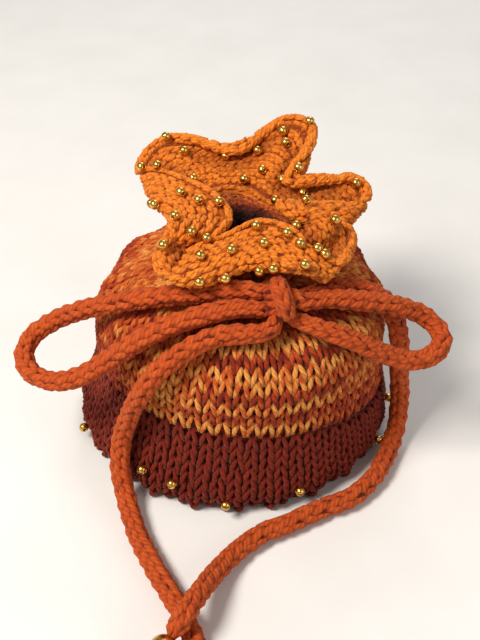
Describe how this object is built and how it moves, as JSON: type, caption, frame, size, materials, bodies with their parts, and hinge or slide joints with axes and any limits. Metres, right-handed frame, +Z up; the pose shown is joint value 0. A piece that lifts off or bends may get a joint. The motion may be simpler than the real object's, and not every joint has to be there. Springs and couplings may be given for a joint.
{
  "type": "drawstring pouch",
  "caption": "Small hand-knitted drawstring bag with a beaded ruffle, beads along its base edge, and a cord tied in a bow with loose tails that end in large beads.",
  "frame": {"origin": "middle of the base, on the surface it rests on", "axes": "+Z up; -Y towards the side where the bow is tied; +X to the right as seen from that side"},
  "size_m": [0.1287, 0.1635, 0.0895],
  "materials": {
    "rust_yarn": "knitted, matt",
    "variegated_yarn": "knitted, matt",
    "orange_yarn": "knitted, matt",
    "cord_yarn": "knitted cord, matt",
    "sewing_thread": "twisted thread, matt",
    "gold_bead": "polished"
  },
  "bodies": {
    "bag": {"base_panel": "rust_yarn", "lower_wall": "rust_yarn", "upper_wall": "variegated_yarn", "eyelet_band": "orange_yarn", "ruffle_collar": "orange_yarn", "drawstring_ring": "cord_yarn", "edge_bead_1": "gold_bead", "edge_bead_2": "gold_bead", "edge_bead_3": "gold_bead", "edge_bead_4": "gold_bead", "edge_bead_5": "gold_bead", "edge_bead_6": "gold_bead", "edge_bead_7": "gold_bead", "edge_bead_8": "gold_bead", "edge_bead_9": "gold_bead", "edge_bead_10": "gold_bead", "edge_bead_11": "gold_bead", "edge_bead_12": "gold_bead", "edge_bead_13": "gold_bead", "edge_bead_14": "gold_bead", "edge_bead_15": "gold_bead", "edge_bead_16": "gold_bead", "ruffle_bead_1": "gold_bead", "ruffle_bead_2": "gold_bead", "ruffle_bead_3": "gold_bead", "ruffle_bead_4": "gold_bead", "ruffle_bead_5": "gold_bead", "ruffle_bead_6": "gold_bead", "ruffle_bead_7": "gold_bead", "ruffle_bead_8": "gold_bead", "ruffle_bead_9": "gold_bead", "ruffle_bead_10": "gold_bead", "ruffle_bead_11": "gold_bead", "ruffle_bead_12": "gold_bead", "ruffle_bead_13": "gold_bead", "ruffle_bead_14": "gold_bead", "ruffle_bead_15": "gold_bead", "ruffle_bead_16": "gold_bead", "ruffle_bead_17": "gold_bead", "ruffle_bead_18": "gold_bead", "ruffle_bead_19": "gold_bead", "ruffle_bead_20": "gold_bead", "ruffle_bead_21": "gold_bead", "ruffle_bead_22": "gold_bead", "ruffle_bead_23": "gold_bead"},
    "bow": {"left_lead": "cord_yarn", "right_lead": "cord_yarn", "half_knot": "cord_yarn", "bow_wrap": "cord_yarn", "bow_core": "cord_yarn", "left_tail": "cord_yarn", "right_tail": "cord_yarn", "left_end_thread": "sewing_thread", "right_end_thread": "sewing_thread", "left_stopper_bead": "gold_bead", "right_stopper_bead": "gold_bead"},
    "left_loop": {"left_loop": "cord_yarn"},
    "right_loop": {"right_loop": "cord_yarn"},
    "left_bead": {"left_end_bead": "gold_bead"},
    "right_bead": {"right_end_bead": "gold_bead"}
  },
  "joints": [
    {"name": "drawstring_pull", "type": "slide", "parent": "bag", "child": "bow", "axis": [0.3508, -0.9365, 0], "range_m": [0, 0.006]},
    {"name": "left_loop_swing", "type": "hinge", "parent": "bow", "child": "left_loop", "pos_m": [0.01375, -0.0279, 0.0646], "axis": [0, 0.6293, 0.7771], "range_deg": [0, 35]},
    {"name": "right_loop_swing", "type": "hinge", "parent": "bow", "child": "right_loop", "pos_m": [0.01375, -0.0279, 0.0646], "axis": [0, -0.6293, -0.7771], "range_deg": [0, 35]},
    {"name": "left_bead_spin", "type": "hinge", "parent": "bow", "child": "left_bead", "pos_m": [-0.00763, -0.1047, 0.00407], "axis": [0.2077, -0.9773, 0.0415], "continuous": true},
    {"name": "right_bead_spin", "type": "hinge", "parent": "bow", "child": "right_bead", "pos_m": [-0.01767, -0.09876, 0.00603], "axis": [-0.5176, -0.6811, -0.5179], "continuous": true}
  ]
}
